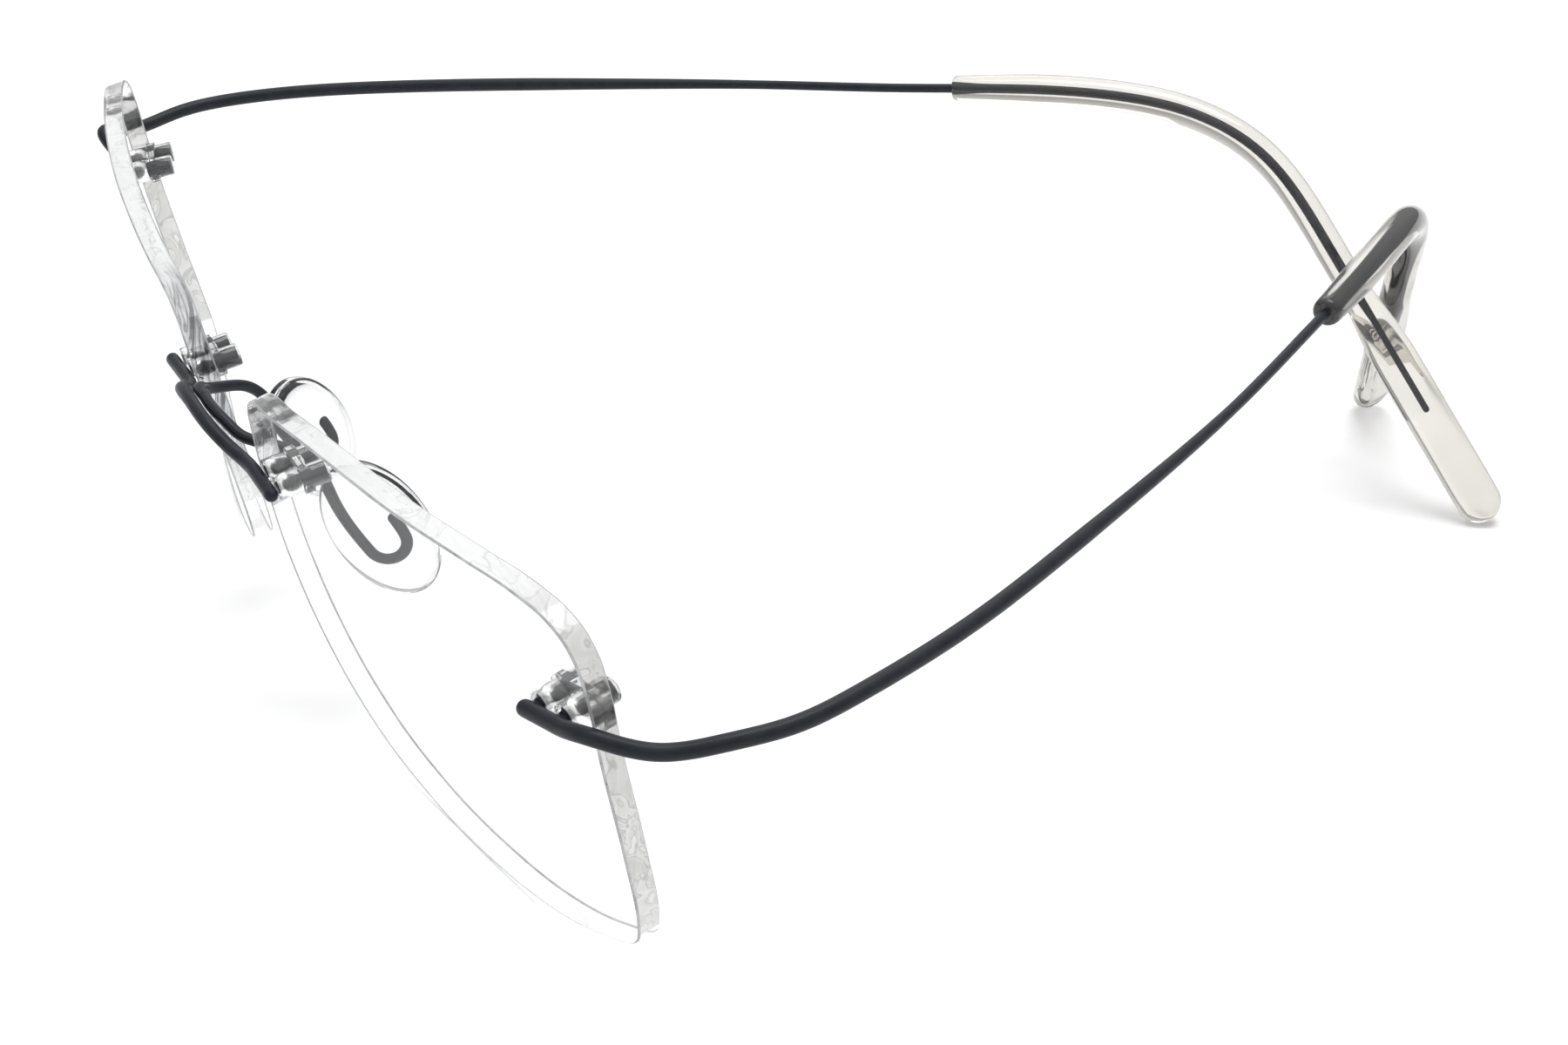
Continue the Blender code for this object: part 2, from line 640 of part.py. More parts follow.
def temple_sleeve(side, flex):
    whole = temple_path(side)
    total = lengths(whole)[-1]
    mouth = total - SLEEVE_LENGTH
    run = np.linspace(
        SLEEVE_RUN_FROM, SLEEVE_LENGTH - SLEEVE_RUN_BEFORE_TIP, SLEEVE_RUN_RINGS
    )
    stations = [(from_mouth * MM, size) for from_mouth, size in MOUTH_RINGS]
    stations += [(from_mouth, 1.0) for from_mouth in run]
    stations.append((SLEEVE_LENGTH - SLEEVE_LAST_BEFORE_TIP, 1.0))
    rings = []
    for from_mouth, size in stations:
        half_width, half_thickness = sleeve_section(from_mouth, SLEEVE_LENGTH)
        rings.append(sleeve_ring(
            side, whole, mouth + from_mouth, half_width, half_thickness, size
        ))
    for angle in PADDLE_END_ANGLES:
        turn = math.radians(angle)
        from_end = PADDLE_HALF_WIDTH * (1 - math.sin(turn))
        half_width = PADDLE_HALF_WIDTH * math.cos(turn)
        half_thickness = min(PADDLE_HALF_THICKNESS, half_width)
        rings.append(sleeve_ring(side, whole, total - from_end, half_width, half_thickness, 1.0))
    body = loft("sleeve", rings)
    core_end = total - CORE_END_FROM_TIP + BORE_PAST_CORE
    core = coarse(cut_path(whole, mouth - BORE_PAST_MOUTH, core_end), WIRE_STEP)
    bore = to_mesh(wire("bore", core, SLEEVE_BORE))
    body = combine(body, bore, "DIFFERENCE")
    place(body, f"temple_sleeve_{SIDE_NAMES[side]}", CLEAR_PLASTIC, flex)


def sleeve_ring(side, whole, length, half_width, half_thickness, size):
    """A ring round the temple: a circle that may stretch into a flat with round ends."""
    spot = at_length(whole, length)
    ahead = at_length(whole, min(length + SLEEVE_TANGENT_REACH, lengths(whole)[-1]))
    behind = at_length(whole, length - SLEEVE_TANGENT_REACH)
    along = Vector(ahead - behind).normalized()
    out = Vector((side, 0, 0))
    out = (out - out.dot(along) * along).normalized()
    across = along.cross(out)
    ring = []
    for i in range(SLEEVE_STEPS):
        angle = 2 * math.pi * (i + 0.5) / SLEEVE_STEPS
        flat = math.copysign(half_width - half_thickness, math.cos(angle))
        wide = size * (flat + half_thickness * math.cos(angle))
        thick = size * half_thickness * math.sin(angle)
        ring.append(Vector(spot) + float(wide) * across + float(thick) * out)
    return ring


# ---------------------------------------------------------------- assembly

clear_scene()
PARTS = collection("rimless_eyeglasses")
CUTTERS = collection("cutters")
CLEAR_LENS = material("clear_lens", (0.95, 0.97, 0.97), 0.02, transmission=1.0)
CLEAR_PLASTIC = material("clear_plastic", (0.93, 0.92, 0.88), 0.08, transmission=1.0)
WIRE_METAL = material("wire_metal", (0.045, 0.05, 0.06), 0.35, metallic=0.8)
STANCE = empty("stance", None, STANCE_SHIFT)
STANCE.rotation_euler = (STANCE_PITCH, STANCE_ROLL, 0)

bridge()
pad_wire_centre()
for this_side in (LEFT, RIGHT):
    this_name = SIDE_NAMES[this_side]
    lens(this_side)
    pin_set(this_side, BRIDGE_PINS, "bridge")
    pin_set(this_side, TEMPLE_PINS, "temple")
    temple_root(this_side)
    swing = this_side * REST_SWING[this_side]
    temple_flex = empty(f"temple_flex_{this_name}", STANCE, sided(TEMPLE_FLEX, this_side), swing)
    temple_wire(this_side, temple_flex)
    temple_sleeve(this_side, temple_flex)
    pad_flex = empty(f"pad_flex_{this_name}", STANCE, sided(PAD_FLEX, this_side))
    pad_arm(this_side, pad_flex)
    nose_pad(this_side, pad_flex)
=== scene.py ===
"""Looks of the rimless eyeglasses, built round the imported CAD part."""
import json
import math

import bmesh
import bpy
import numpy as np
from mathutils import Euler, Matrix, Vector

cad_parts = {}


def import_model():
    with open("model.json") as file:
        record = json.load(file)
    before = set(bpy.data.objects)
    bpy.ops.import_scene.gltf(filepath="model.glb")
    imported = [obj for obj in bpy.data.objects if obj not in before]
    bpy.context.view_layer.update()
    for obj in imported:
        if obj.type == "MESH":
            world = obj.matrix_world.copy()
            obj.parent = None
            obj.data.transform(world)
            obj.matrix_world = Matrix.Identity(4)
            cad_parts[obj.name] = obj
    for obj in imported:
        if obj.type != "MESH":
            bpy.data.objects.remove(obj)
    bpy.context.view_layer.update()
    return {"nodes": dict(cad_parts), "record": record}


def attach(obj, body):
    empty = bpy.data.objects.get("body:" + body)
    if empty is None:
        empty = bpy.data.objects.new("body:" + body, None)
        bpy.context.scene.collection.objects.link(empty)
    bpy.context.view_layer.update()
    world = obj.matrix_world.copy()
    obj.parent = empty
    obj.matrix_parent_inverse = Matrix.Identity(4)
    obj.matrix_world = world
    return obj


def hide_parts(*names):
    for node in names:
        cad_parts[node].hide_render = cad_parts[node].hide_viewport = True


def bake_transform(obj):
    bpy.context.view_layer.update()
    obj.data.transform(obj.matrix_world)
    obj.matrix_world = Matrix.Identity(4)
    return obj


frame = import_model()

MM = 0.001
LEFT, RIGHT = 1, -1
SIDE_NAMES = {LEFT: "left", RIGHT: "right"}
JOINTS = {joint["name"]: joint for joint in frame["record"]["behaviour"]["joints"]}

# Design frame: +X to the wearer's left, -Y to the front, origin midway between the bridge pins.
FLEX_LEFT = JOINTS["temple_left_flex"]
FLEX_RIGHT = JOINTS["temple_right_flex"]
TEMPLE_FLEX = Vector((62.0, 9.7, 1.4)) * MM
SPREAD = Vector(FLEX_LEFT["pos_m"]) - Vector(FLEX_RIGHT["pos_m"])
X_AXIS = SPREAD.normalized()
Z_AXIS = Vector(FLEX_RIGHT["axis"]).normalized()
STANCE_TURN = Matrix((X_AXIS, Z_AXIS.cross(X_AXIS), Z_AXIS)).transposed()
MIDDLE = (Vector(FLEX_LEFT["pos_m"]) + Vector(FLEX_RIGHT["pos_m"])) / 2
ORIGIN = MIDDLE - STANCE_TURN @ Vector((0, TEMPLE_FLEX.y, TEMPLE_FLEX.z))
STANCE = Matrix.Translation(ORIGIN) @ STANCE_TURN.to_4x4()
REST_SWING = {LEFT: 0.0, RIGHT: math.radians(4.1)}

# Lenses
LENS_CENTRE = Vector((33.7, 2.2, -5.6)) * MM
FACE_WRAP = math.radians(7.65)
LENS_ROLL = math.radians(0.9)
PANTOSCOPIC_TILT = math.radians(8.6)
# The springy bridge lets the right lens sag and turn a little about its own end of the bridge:
# angles about X, Y and Z.
LENS_SAG = {
    LEFT: (0.0, 0.0, 0.0),
    RIGHT: (math.radians(1.0), math.radians(-2.2), math.radians(-2.0)),
}
BRIDGE_SEAT = Vector((11.5, -0.75, 0.0)) * MM
BASE_RADIUS = 173.0 * MM
LENS_THICKNESS = 1.8 * MM
LENS_OUTLINE = (
    (26.1, 6.0), (26.0, 11.0), (25.2, 13.7), (23.5, 15.3), (20.0, 16.2), (14.0, 16.3),
    (6.0, 15.9), (-8.0, 14.9), (-17.5, 13.2), (-22.8, 12.0), (-24.6, 10.6), (-25.4, 7.5),
    (-25.9, 1.5),
    (-25.6, -4.5), (-22.5, -10.5), (-16.5, -14.3), (-8.0, -16.0), (3.0, -16.3),
    (13.5, -15.3), (20.5, -13.2), (23.8, -11.6), (25.0, -9.4), (26.0, -3.0),
)
SAFETY_BEVEL = 0.14 * MM
# The left rim is clear below this height on its nasal side.
CLEAR_RIM_BELOW = 1.0 * MM
DOWNWARD_RIM = 0.4
OUTLINE_STEPS = 10
LENS_RING_SHARES = (0.02, 0.15, 0.3, 0.45, 0.6, 0.75, 0.88, 0.96)
RIM_STEPS = 6

# Pins and bushings
PIN_PITCH = 2.8 * MM
PIN_PAIR = (-PIN_PITCH / 2, PIN_PITCH / 2)
BRIDGE_PINS = Vector((-22.5, 5.2)) * MM
TEMPLE_PINS = Vector((21.5, 7.8)) * MM
# How far each pair of pins rises outward.
PIN_SLOPE = {"bridge": 0.0, "temple": math.radians(5.5)}
WIRE_STANDOFF = 0.12 * MM
BUSHING_RADIUS = 0.95 * MM
BUSHING_REACH = 2.3 * MM
BUSHING_BELOW_FRONT = 0.1 * MM
WEB_GAP = 0.1 * MM
WEB_THICKNESS = 0.8 * MM
WEB_HALF_WIDTH = 1.25 * MM
LENS_HOLE_RADIUS = 1.0 * MM
DRILL_LENGTH = 10.0 * MM
DRILL_SIDES = 24
BUSHING_SIDES = 28
WEB_END_STEPS = 14
WEB_BEVEL = 0.06 * MM
WEB_FACE_SIZE = 0.93
# The foot of a bushing tube: height above its end, and how far its radius is drawn in.
BUSHING_FOOT = ((0.12 * MM, 0.0), (0.03 * MM, 0.05 * MM), (0.0, 0.14 * MM))

# Wires
TUBE_SIDES = 20
BALL_END_ANGLES = (90, 75, 60, 45, 32, 20, 10, 4)
BALL_END_ROOM = 1.02
BRIDGE_RADIUS = 0.55 * MM
BRIDGE_START = 0.6 * MM
BRIDGE_END = 1.2 * MM
BRIDGE_STEP = 0.25 * MM
BRIDGE_ARCH = (
    (0.0, -2.65, 2.6), (2.2, -2.6, 2.4), (4.2, -2.25, 1.8), (5.6, -1.6, 0.9), (7.2, -0.95, 0.25),
)
PAD_WIRE_RADIUS = 0.47 * MM
PAD_WIRE_ARCH = ((0.0, -1.5, 2.6), (2.1, -1.4, 2.35), (3.5, -0.95, 1.8))
PAD_FLEX = Vector((4.7, -0.25, 1.0)) * MM
PAD_ARM = ((5.8, 1.6, 0.2), (6.8, 3.7, -0.9), (7.2, 5.0, -2.6))
PAD_CENTRE = Vector((8.9, 8.6, -7.8)) * MM
PAD_NORMAL = Vector((-0.89, 0.45, 0.01))
PAD_UP = Vector((-0.18, -0.39, 0.90))
PAD_HALF_LENGTH = 6.4 * MM
PAD_HALF_WIDTH = 4.0 * MM
PAD_HALF_THICKNESS = 1.2 * MM
HOOK_LEG_TOP = 4.0 * MM
HOOK_RADIUS = 1.6 * MM
HOOK_MIDDLE = Vector((-1.1, -0.1)) * MM
HOOK_END = 0.9 * MM
HOOK_STEPS = 8
PAD_WIRE_STEP = 0.15 * MM
PAD_SIDES = 56
PAD_LAYERS = 28
# A superellipse across the thickness keeps the pad's face flat and its rim round.
PAD_RIM_POWER = 0.42
PAD_FACE_POWER = 0.75
TEMPLE_RADIUS = 0.62 * MM
TEMPLE_THIN_RADIUS = 0.43 * MM
TEMPLE_THINS_FROM = 46.0 * MM
TEMPLE_THINS_TO = 66.0 * MM
TEMPLE_START = 0.5 * MM
TEMPLE_END = 1.1 * MM
TEMPLE_STEP = 0.2 * MM
FINE_RINGS_UNTIL = 16.0 * MM
FINE_RING_STEP = 0.3 * MM
COARSE_RING_STEP = 0.9 * MM
TEMPLE_ROUNDS_EDGE = ((59.6, 6.0, 2.55), (61.0, 7.7, 2.0))
TEMPLE_RUN = (
    (63.6, 14.0, 1.6), (64.1, 18.4, 1.7), (63.1, 23.6, 1.8), (59.2, 34.3, 1.8), (53.9, 45.0, 1.8),
    (48.0, 56.0, 1.75), (41.7, 66.9, 1.7), (34.5, 78.0, 1.7),
)
# The ear bends differ a little, and past them each tip runs straight.
EAR_BEND = {
    LEFT: (
        (26.7, 89.5, 1.6), (22.6, 94.9, 1.3), (18.3, 99.7, 0.0), (13.4, 103.9, -3.6),
        (7.6, 107.5, -10.2),
    ),
    RIGHT: (
        (26.7, 89.7, 1.9), (22.5, 95.3, 1.6), (18.0, 100.4, 0.5), (13.1, 105.0, -2.7),
        (7.3, 108.35, -9.55),
    ),
}
TIP_DIRECTION = {LEFT: Vector((-0.553, 0.313, -0.772)), RIGHT: Vector((-0.554, 0.284, -0.783))}
TIP_STRAIGHT = 30.7 * MM
TIP_STEPS = 31
CORE_RADIUS = 0.3 * MM
CORE_THINS_OVER = 3.0 * MM
CORE_END_FROM_TIP = 11.0 * MM
FLEX_ZONE = 6.0 * MM

# Sleeves
SLEEVE_LENGTH = 71.0 * MM
SLEEVE_RADIUS = 1.45 * MM
SLEEVE_MOUTH_RADIUS = 1.2 * MM
PADDLE_HALF_WIDTH = 2.15 * MM
PADDLE_HALF_THICKNESS = 1.1 * MM
PADDLE_LENGTH = 17.0 * MM
PADDLE_TAPER = 9.0 * MM
MOUTH_GROWS_OVER = 8.0 * MM
SLEEVE_SIDES = 32
SLEEVE_TANGENT_REACH = 0.4 * MM
# The rounded mouth: distance from its end, and the share of the full section there.
MOUTH_RINGS = ((0.0, 0.62), (0.06, 0.78), (0.2, 0.9), (0.42, 0.97), (0.75, 1.0))
SLEEVE_RINGS_FROM = 1.4
SLEEVE_RING_STEP = 0.8
SLEEVE_RINGS_SHORT_BY = 3.6
TIP_END_ANGLES = (12, 24, 36, 48, 60, 70, 79, 86)

# Stage
FLOOR_RADIUS = 2.5
FLOOR_SIDES = 64
CEILING = {"place": (-0.05, 0.1, 1.2), "size": (0.7, 0.7), "power": 6.6, "colour": (1, 1, 1)}
WINDOW = {"place": (-1.1, 0.5, 0.9), "size": (0.8, 0.8), "power": 2.0, "colour": (0.95, 0.98, 1.0)}
# Camera: its place in a level frame pitched under the bridge, its direction and its lens.
CAMERA_LEVEL = math.radians(-6.87)
CAMERA_PLACE = Vector((211.55, -59.75, 101.55)) * MM
CAMERA_AZIMUTH = math.radians(61.874)
CAMERA_ELEVATION = math.radians(26.180)
CAMERA_ROLL = math.radians(-3.759)
CAMERA_LENS = 69.19
CAMERA_SENSOR = 36.0
CAMERA_SHIFT = (-0.0235, -0.0102)
CAMERA_CLIP_START = 0.01

# Refractive indices
LENS_IOR = 1.5
PLASTIC_IOR = 1.48


# ---------------------------------------------------------------- materials

def shader_tree(name):
    made = bpy.data.materials.new(name)
    made.use_nodes = True
    tree = made.node_tree
    return made, tree, tree.nodes["Principled BSDF"]


def noise(tree, scale, detail=4.0, stretch=(1, 1, 1), distortion=0.0):
    """Object-space noise, stretched along the given axes."""
    coords = tree.nodes.new("ShaderNodeTexCoord")
    mapping = tree.nodes.new("ShaderNodeMapping")
    mapping.inputs["Scale"].default_value = stretch
    texture = tree.nodes.new("ShaderNodeTexNoise")
    texture.inputs["Scale"].default_value = scale
    texture.inputs["Detail"].default_value = detail
    texture.inputs["Distortion"].default_value = distortion
    tree.links.new(coords.outputs["Object"], mapping.inputs["Vector"])
    tree.links.new(mapping.outputs["Vector"], texture.inputs["Vector"])
    return texture.outputs["Fac"]


def ramp(tree, source, stops):
    made = tree.nodes.new("ShaderNodeValToRGB")
    elements = made.color_ramp.elements
    while len(elements) < len(stops):
        elements.new(0.5)
    for element, (position, value) in zip(elements, stops):
        element.position = position
        element.color = (*value, 1.0) if isinstance(value, tuple) else (value,) * 3 + (1.0,)
    tree.links.new(source, made.inputs["Fac"])
    return made.outputs["Color"]


def vary(tree, shader, socket, source, stops):
    """Lets one value of a shader follow a source through a ramp."""
    tree.links.new(ramp(tree, source, stops), shader.inputs[socket])


def mix(tree, factor, first, second):
    """Mixes two colours, of which the second may be a plain value."""
    made = tree.nodes.new("ShaderNodeMix")
    made.data_type = "RGBA"
    tree.links.new(factor, made.inputs["Factor"])
    tree.links.new(first, made.inputs["A"])
    if isinstance(second, tuple):
        made.inputs["B"].default_value = (*second, 1.0)
    else:
        tree.links.new(second, made.inputs["B"])
    return made.outputs["Result"]


def object_place(tree):
    """X, Y and Z of the shaded point."""
    coords = tree.nodes.new("ShaderNodeTexCoord")
    split = tree.nodes.new("ShaderNodeSeparateXYZ")
    tree.links.new(coords.outputs["Object"], split.inputs["Vector"])
    return split.outputs


def calculate(tree, operation, *sources):
    made = tree.nodes.new("ShaderNodeMath")
    made.operation = operation
    for source, socket in zip(sources, made.inputs):
        tree.links.new(source, socket)
    return made.outputs["Value"]


def bump(tree, shader, source, strength, distance):
    made = tree.nodes.new("ShaderNodeBump")
    made.inputs["Strength"].default_value = strength
    made.inputs["Distance"].default_value = distance
    tree.links.new(source, made.inputs["Height"])
    tree.links.new(made.outputs["Normal"], shader.inputs["Normal"])


def wire_material():
    """Black slate satin coating with faint drawing marks."""
    made, tree, shader = shader_tree("slate_wire")
    grain = noise(tree, 900.0, 3.0)
    slate = ((0.3, (0.008, 0.010, 0.015)), (0.7, (0.014, 0.017, 0.023)))
    vary(tree, shader, "Base Color", grain, slate)
    vary(tree, shader, "Roughness", grain, ((0.3, 0.34), (0.7, 0.48)))
    shader.inputs["Metallic"].default_value = 0.1
    shader.inputs["Specular IOR Level"].default_value = 0.25
    bump(tree, shader, noise(tree, 2600.0, 2.0), 0.12, 0.00002)
    return made


def lens_material():
    """Coated organic glass: clear, hardly any reflection, the faintest smear."""
    made, tree, shader = shader_tree("lens_clear")
    smear = noise(tree, 60.0, 3.0)
    vary(tree, shader, "Roughness", smear, ((0.35, 0.0), (0.75, 0.012)))
    tint = ((0.3, (0.972, 0.982, 0.980)), (0.8, (0.985, 0.992, 0.990)))
    vary(tree, shader, "Base Color", smear, tint)
    shader.inputs["Transmission Weight"].default_value = 1.0
    shader.inputs["IOR"].default_value = LENS_IOR
    shader.inputs["Specular IOR Level"].default_value = 0.3
    shader.inputs["Alpha"].default_value = 0.05
    return made


def lens_edge_material():
    """The edged rim: pale above, darker at the temple and striped with dark bands at the upper nasal
    corner; the darkening and the bands are painted shade for the dark pins and bridge wire seen
    through the edge.

    Squiggly lines left by the edging wheel run through it.
    """
    made, tree, shader = shader_tree("lens_edge")
    ripple = noise(tree, 220.0, 2.0, distortion=2.0)
    streak = noise(tree, 150.0, 3.0, stretch=(0.7, 5.0, 0.7), distortion=1.2)
    plain = ramp(tree, ripple, (
        (0.36, (0.66, 0.665, 0.66)), (0.43, (0.72, 0.725, 0.72)), (0.46, (0.46, 0.465, 0.46)),
        (0.49, (0.74, 0.745, 0.74)), (0.70, (0.68, 0.685, 0.68)),
    ))
    # Painted shade with real wheel lines: a darker copy of the rim colour, standing in for the dark
    # pins seen through the edge at the temple.
    wheel_lines_and_temple_shade = ramp(tree, ripple, (
        (0.38, (0.24, 0.235, 0.22)), (0.45, (0.32, 0.315, 0.30)), (0.47, (0.10, 0.10, 0.09)),
        (0.50, (0.40, 0.395, 0.38)), (0.59, (0.28, 0.275, 0.26)), (0.61, (0.12, 0.12, 0.11)),
        (0.64, (0.50, 0.495, 0.48)),
    ))
    # Painted shade: dark streaks standing in for the bridge wire seen through the edge at the upper
    # nasal corner.
    painted_nasal_bands = ramp(tree, streak, (
        (0.38, (0.02, 0.022, 0.025)), (0.45, (0.40, 0.41, 0.42)), (0.50, (0.03, 0.032, 0.035)),
        (0.56, (0.60, 0.61, 0.62)), (0.62, (0.10, 0.105, 0.11)),
    ))
    place = object_place(tree)
    outward = calculate(tree, "ABSOLUTE", place["X"])
    inner = ramp(tree, outward, ((0.0105, 1.0), (0.0165, 0.0)))
    upper = ramp(tree, place["Z"], ((0.012, 0.0), (0.018, 1.0)))
    nasal_corner = calculate(tree, "MULTIPLY", inner, upper)
    temporal = ramp(tree, outward, ((0.052, 0.0), (0.060, 1.0)))
    # Mixes in the painted shade at the temple and the painted dark bands at the upper nasal corner.
    tint = mix(tree, nasal_corner, mix(tree, temporal, plain, wheel_lines_and_temple_shade), painted_nasal_bands)
    tree.links.new(tint, shader.inputs["Base Color"])
    vary(tree, shader, "Roughness", ripple, ((0.3, 0.04), (0.75, 0.20)))
    vary(tree, shader, "Transmission Weight", streak, ((0.35, 0.80), (0.65, 0.93)))
    shader.inputs["IOR"].default_value = LENS_IOR
    bump(tree, shader, ripple, 0.3, 0.00008)
    return made


def lens_lower_edge_material():
    """The lower rim, polished clear apart from a faint grain."""
    made, tree, shader = shader_tree("lens_lower_edge")
    grain = noise(tree, 300.0, 3.0)
    tint = ((0.3, (0.90, 0.91, 0.91)), (0.7, (0.99, 0.99, 0.99)))
    vary(tree, shader, "Base Color", grain, tint)
    vary(tree, shader, "Roughness", grain, ((0.3, 0.0), (0.7, 0.05)))
    shader.inputs["Transmission Weight"].default_value = 1.0
    shader.inputs["IOR"].default_value = LENS_IOR
    shader.inputs["Alpha"].default_value = 0.2
    return made


def lens_bevel_material():
    """The matt safety bevel that draws a thin grey line round each face of a lens."""
    made, tree, shader = shader_tree("lens_bevel")
    grind = noise(tree, 700.0, 3.0)
    tint = ((0.3, (0.16, 0.165, 0.17)), (0.7, (0.38, 0.39, 0.395)))
    vary(tree, shader, "Base Color", grind, tint)
    vary(tree, shader, "Roughness", grind, ((0.3, 0.25), (0.7, 0.5)))
    shader.inputs["Transmission Weight"].default_value = 0.5
    shader.inputs["IOR"].default_value = LENS_IOR
    return made


def plastic_material(name, face, rim, rough, body):
    """Clear cast plastic with slight clouding, with painted shade: the colour turns to the dark rim
    colour where the surface is seen edge on.
    """
    made, tree, shader = shader_tree(name)
    cloud = noise(tree, 160.0, 4.0)
    shade = [tuple(value * dimming for value in face) for dimming in (0.9, 1.0)]
    plain = ramp(tree, cloud, ((0.3, shade[0]), (0.75, shade[1])))
    # Painted shade: the facing ramp below mixes the dark rim colour in by viewing angle, standing in
    # for dark surroundings seen through the plastic's rim.
    weight = tree.nodes.new("ShaderNodeLayerWeight")
    weight.inputs["Blend"].default_value = 0.5
    depth = ramp(tree, weight.outputs["Facing"], ((0.45, 0.0), (0.72, 0.5), (0.92, 1.0)))
    tree.links.new(mix(tree, depth, plain, rim), shader.inputs["Base Color"])
    vary(tree, shader, "Roughness", cloud, ((0.3, rough[0]), (0.75, rough[1])))
    vary(tree, shader, "Transmission Weight", cloud, ((0.3, body[0]), (0.75, body[1])))
    shader.inputs["IOR"].default_value = PLASTIC_IOR
    bump(tree, shader, noise(tree, 300.0, 2.0), 0.10, 0.00008)
    return made


def floor_material():
    made, tree, shader = shader_tree("pale_floor")
    paper = noise(tree, 40.0, 5.0)
    vary(tree, shader, "Base Color", paper, ((0.3, (0.90, 0.90, 0.905)), (0.7, (0.915, 0.915, 0.92))))
    shader.inputs["Roughness"].default_value = 0.9
    shader.inputs["Specular IOR Level"].default_value = 0.1
    return made


# ---------------------------------------------------------------- curves and meshes

def smooth(points, step):
    """Evenly spaced points on the natural cubic spline through the given ones."""
    given = np.array([tuple(point) for point in points], float)
    knots = np.concatenate([[0.0], np.cumsum(np.linalg.norm(np.diff(given, axis=0), axis=1))])
    gaps = np.diff(knots)
    count = len(given)
    system = np.eye(count)
    right = np.zeros((count, 3))
    for i in range(1, count - 1):
        system[i, i - 1:i + 2] = gaps[i - 1], 2 * (gaps[i - 1] + gaps[i]), gaps[i]
        slopes = (given[i + 1] - given[i]) / gaps[i] - (given[i] - given[i - 1]) / gaps[i - 1]
        right[i] = 6 * slopes
    bend = np.linalg.solve(system, right)
    wanted = np.linspace(0, knots[-1], max(2, round(knots[-1] / step) + 1))
    span = np.clip(np.searchsorted(knots, wanted, side="right") - 1, 0, count - 2)
    gap = gaps[span][:, None]
    after = (wanted - knots[span])[:, None]
    before = gap - after
    path = (bend[span] * before**3 + bend[span + 1] * after**3) / (6 * gap)
    path += (given[span] / gap - bend[span] * gap / 6) * before
    path += (given[span + 1] / gap - bend[span + 1] * gap / 6) * after
    return path


def lengths(path):
    return np.concatenate([[0.0], np.cumsum(np.linalg.norm(np.diff(path, axis=0), axis=1))])


def at_length(path, wanted):
    along = lengths(path)
    return np.stack([np.interp(wanted, along, path[:, i]) for i in range(3)], axis=-1)


def nearest_length(path, point):
    return lengths(path)[np.linalg.norm(path - np.array(point), axis=1).argmin()]


def to_world(points, side=LEFT, swing=False):
    """Design-frame points in the row frame, swung about the temple's axis if asked."""
    points = np.asarray([tuple(point) for point in points], float)
    turn = STANCE
    if swing:
        pivot = Vector((side * TEMPLE_FLEX.x, TEMPLE_FLEX.y, TEMPLE_FLEX.z))
        spin = Matrix.Rotation(side * REST_SWING[side], 4, "Z")
        turn = STANCE @ Matrix.Translation(pivot) @ spin @ Matrix.Translation(-pivot)
    turn = np.array(turn)
    return points @ turn[:3, :3].T + turn[:3, 3]


def finish_mesh(bm, name, materials, sharp=40):
    bmesh.ops.recalc_face_normals(bm, faces=bm.faces)
    mesh = bpy.data.meshes.new(name)
    bm.to_mesh(mesh)
    bm.free()
    made = bpy.data.objects.new(name, mesh)
    bpy.context.scene.collection.objects.link(made)
    for material in materials:
        mesh.materials.append(material)
    mesh.shade_smooth()
    mesh.set_sharp_from_angle(angle=math.radians(sharp))
    return made


def skin(bm, rings):
    """Faces through rings of equally many points, closed at both ends."""
    layers = [[bm.verts.new(tuple(spot)) for spot in ring] for ring in rings]
    for lower, upper in zip(layers, layers[1:]):
        for i in range(len(lower)):
            j = (i + 1) % len(lower)
            bm.faces.new((lower[i], lower[j], upper[j], upper[i]))
    for layer in (layers[0], layers[-1]):
        hub = bm.verts.new(sum((vert.co for vert in layer), Vector()) / len(layer))
        for i in range(len(layer)):
            bm.faces.new((layer[i], layer[(i + 1) % len(layer)], hub))


def tube_rings(path, radii):
    """Rings round a path that carry one direction along without twisting."""
    tangents = np.gradient(path, axis=0)
    tangents /= np.linalg.norm(tangents, axis=1)[:, None]
    out = np.cross(tangents[0], (0, 0, 1.0))
    angles = 2 * np.pi * np.arange(TUBE_SIDES) / TUBE_SIDES
    rings = []
    for spot, along, radius in zip(path, tangents, radii):
        out = out - out.dot(along) * along
        out /= np.linalg.norm(out)
        across = np.cross(along, out)
        turn = np.outer(np.cos(angles), out) + np.outer(np.sin(angles), across)
        rings.append(spot + radius * turn)
    return rings


def with_ball_end(path, radii):
    """Closes a path's radius to a small flat over its last stretch."""
    angles = np.radians(BALL_END_ANGLES)
    total, radius = lengths(path)[-1], radii[-1]
    keep = lengths(path) < total - radius * BALL_END_ROOM
    ends = at_length(path, total - radius * (1 - np.cos(angles)))
    return np.vstack([path[keep], ends]), np.concatenate([radii[keep], radius * np.sin(angles)])


def tube(name, path, radii, material, ball_start=True):
    """A tube with a ball at its end, and at its start too if asked."""
    radii = np.broadcast_to(radii, len(path)).astype(float)
    path, radii = with_ball_end(path, radii)
    if ball_start:
        path, radii = with_ball_end(path[::-1], radii[::-1])
        path, radii = path[::-1], radii[::-1]
    bm = bmesh.new()
    skin(bm, tube_rings(path, radii))
    return finish_mesh(bm, name, [material])


# ---------------------------------------------------------------- lenses

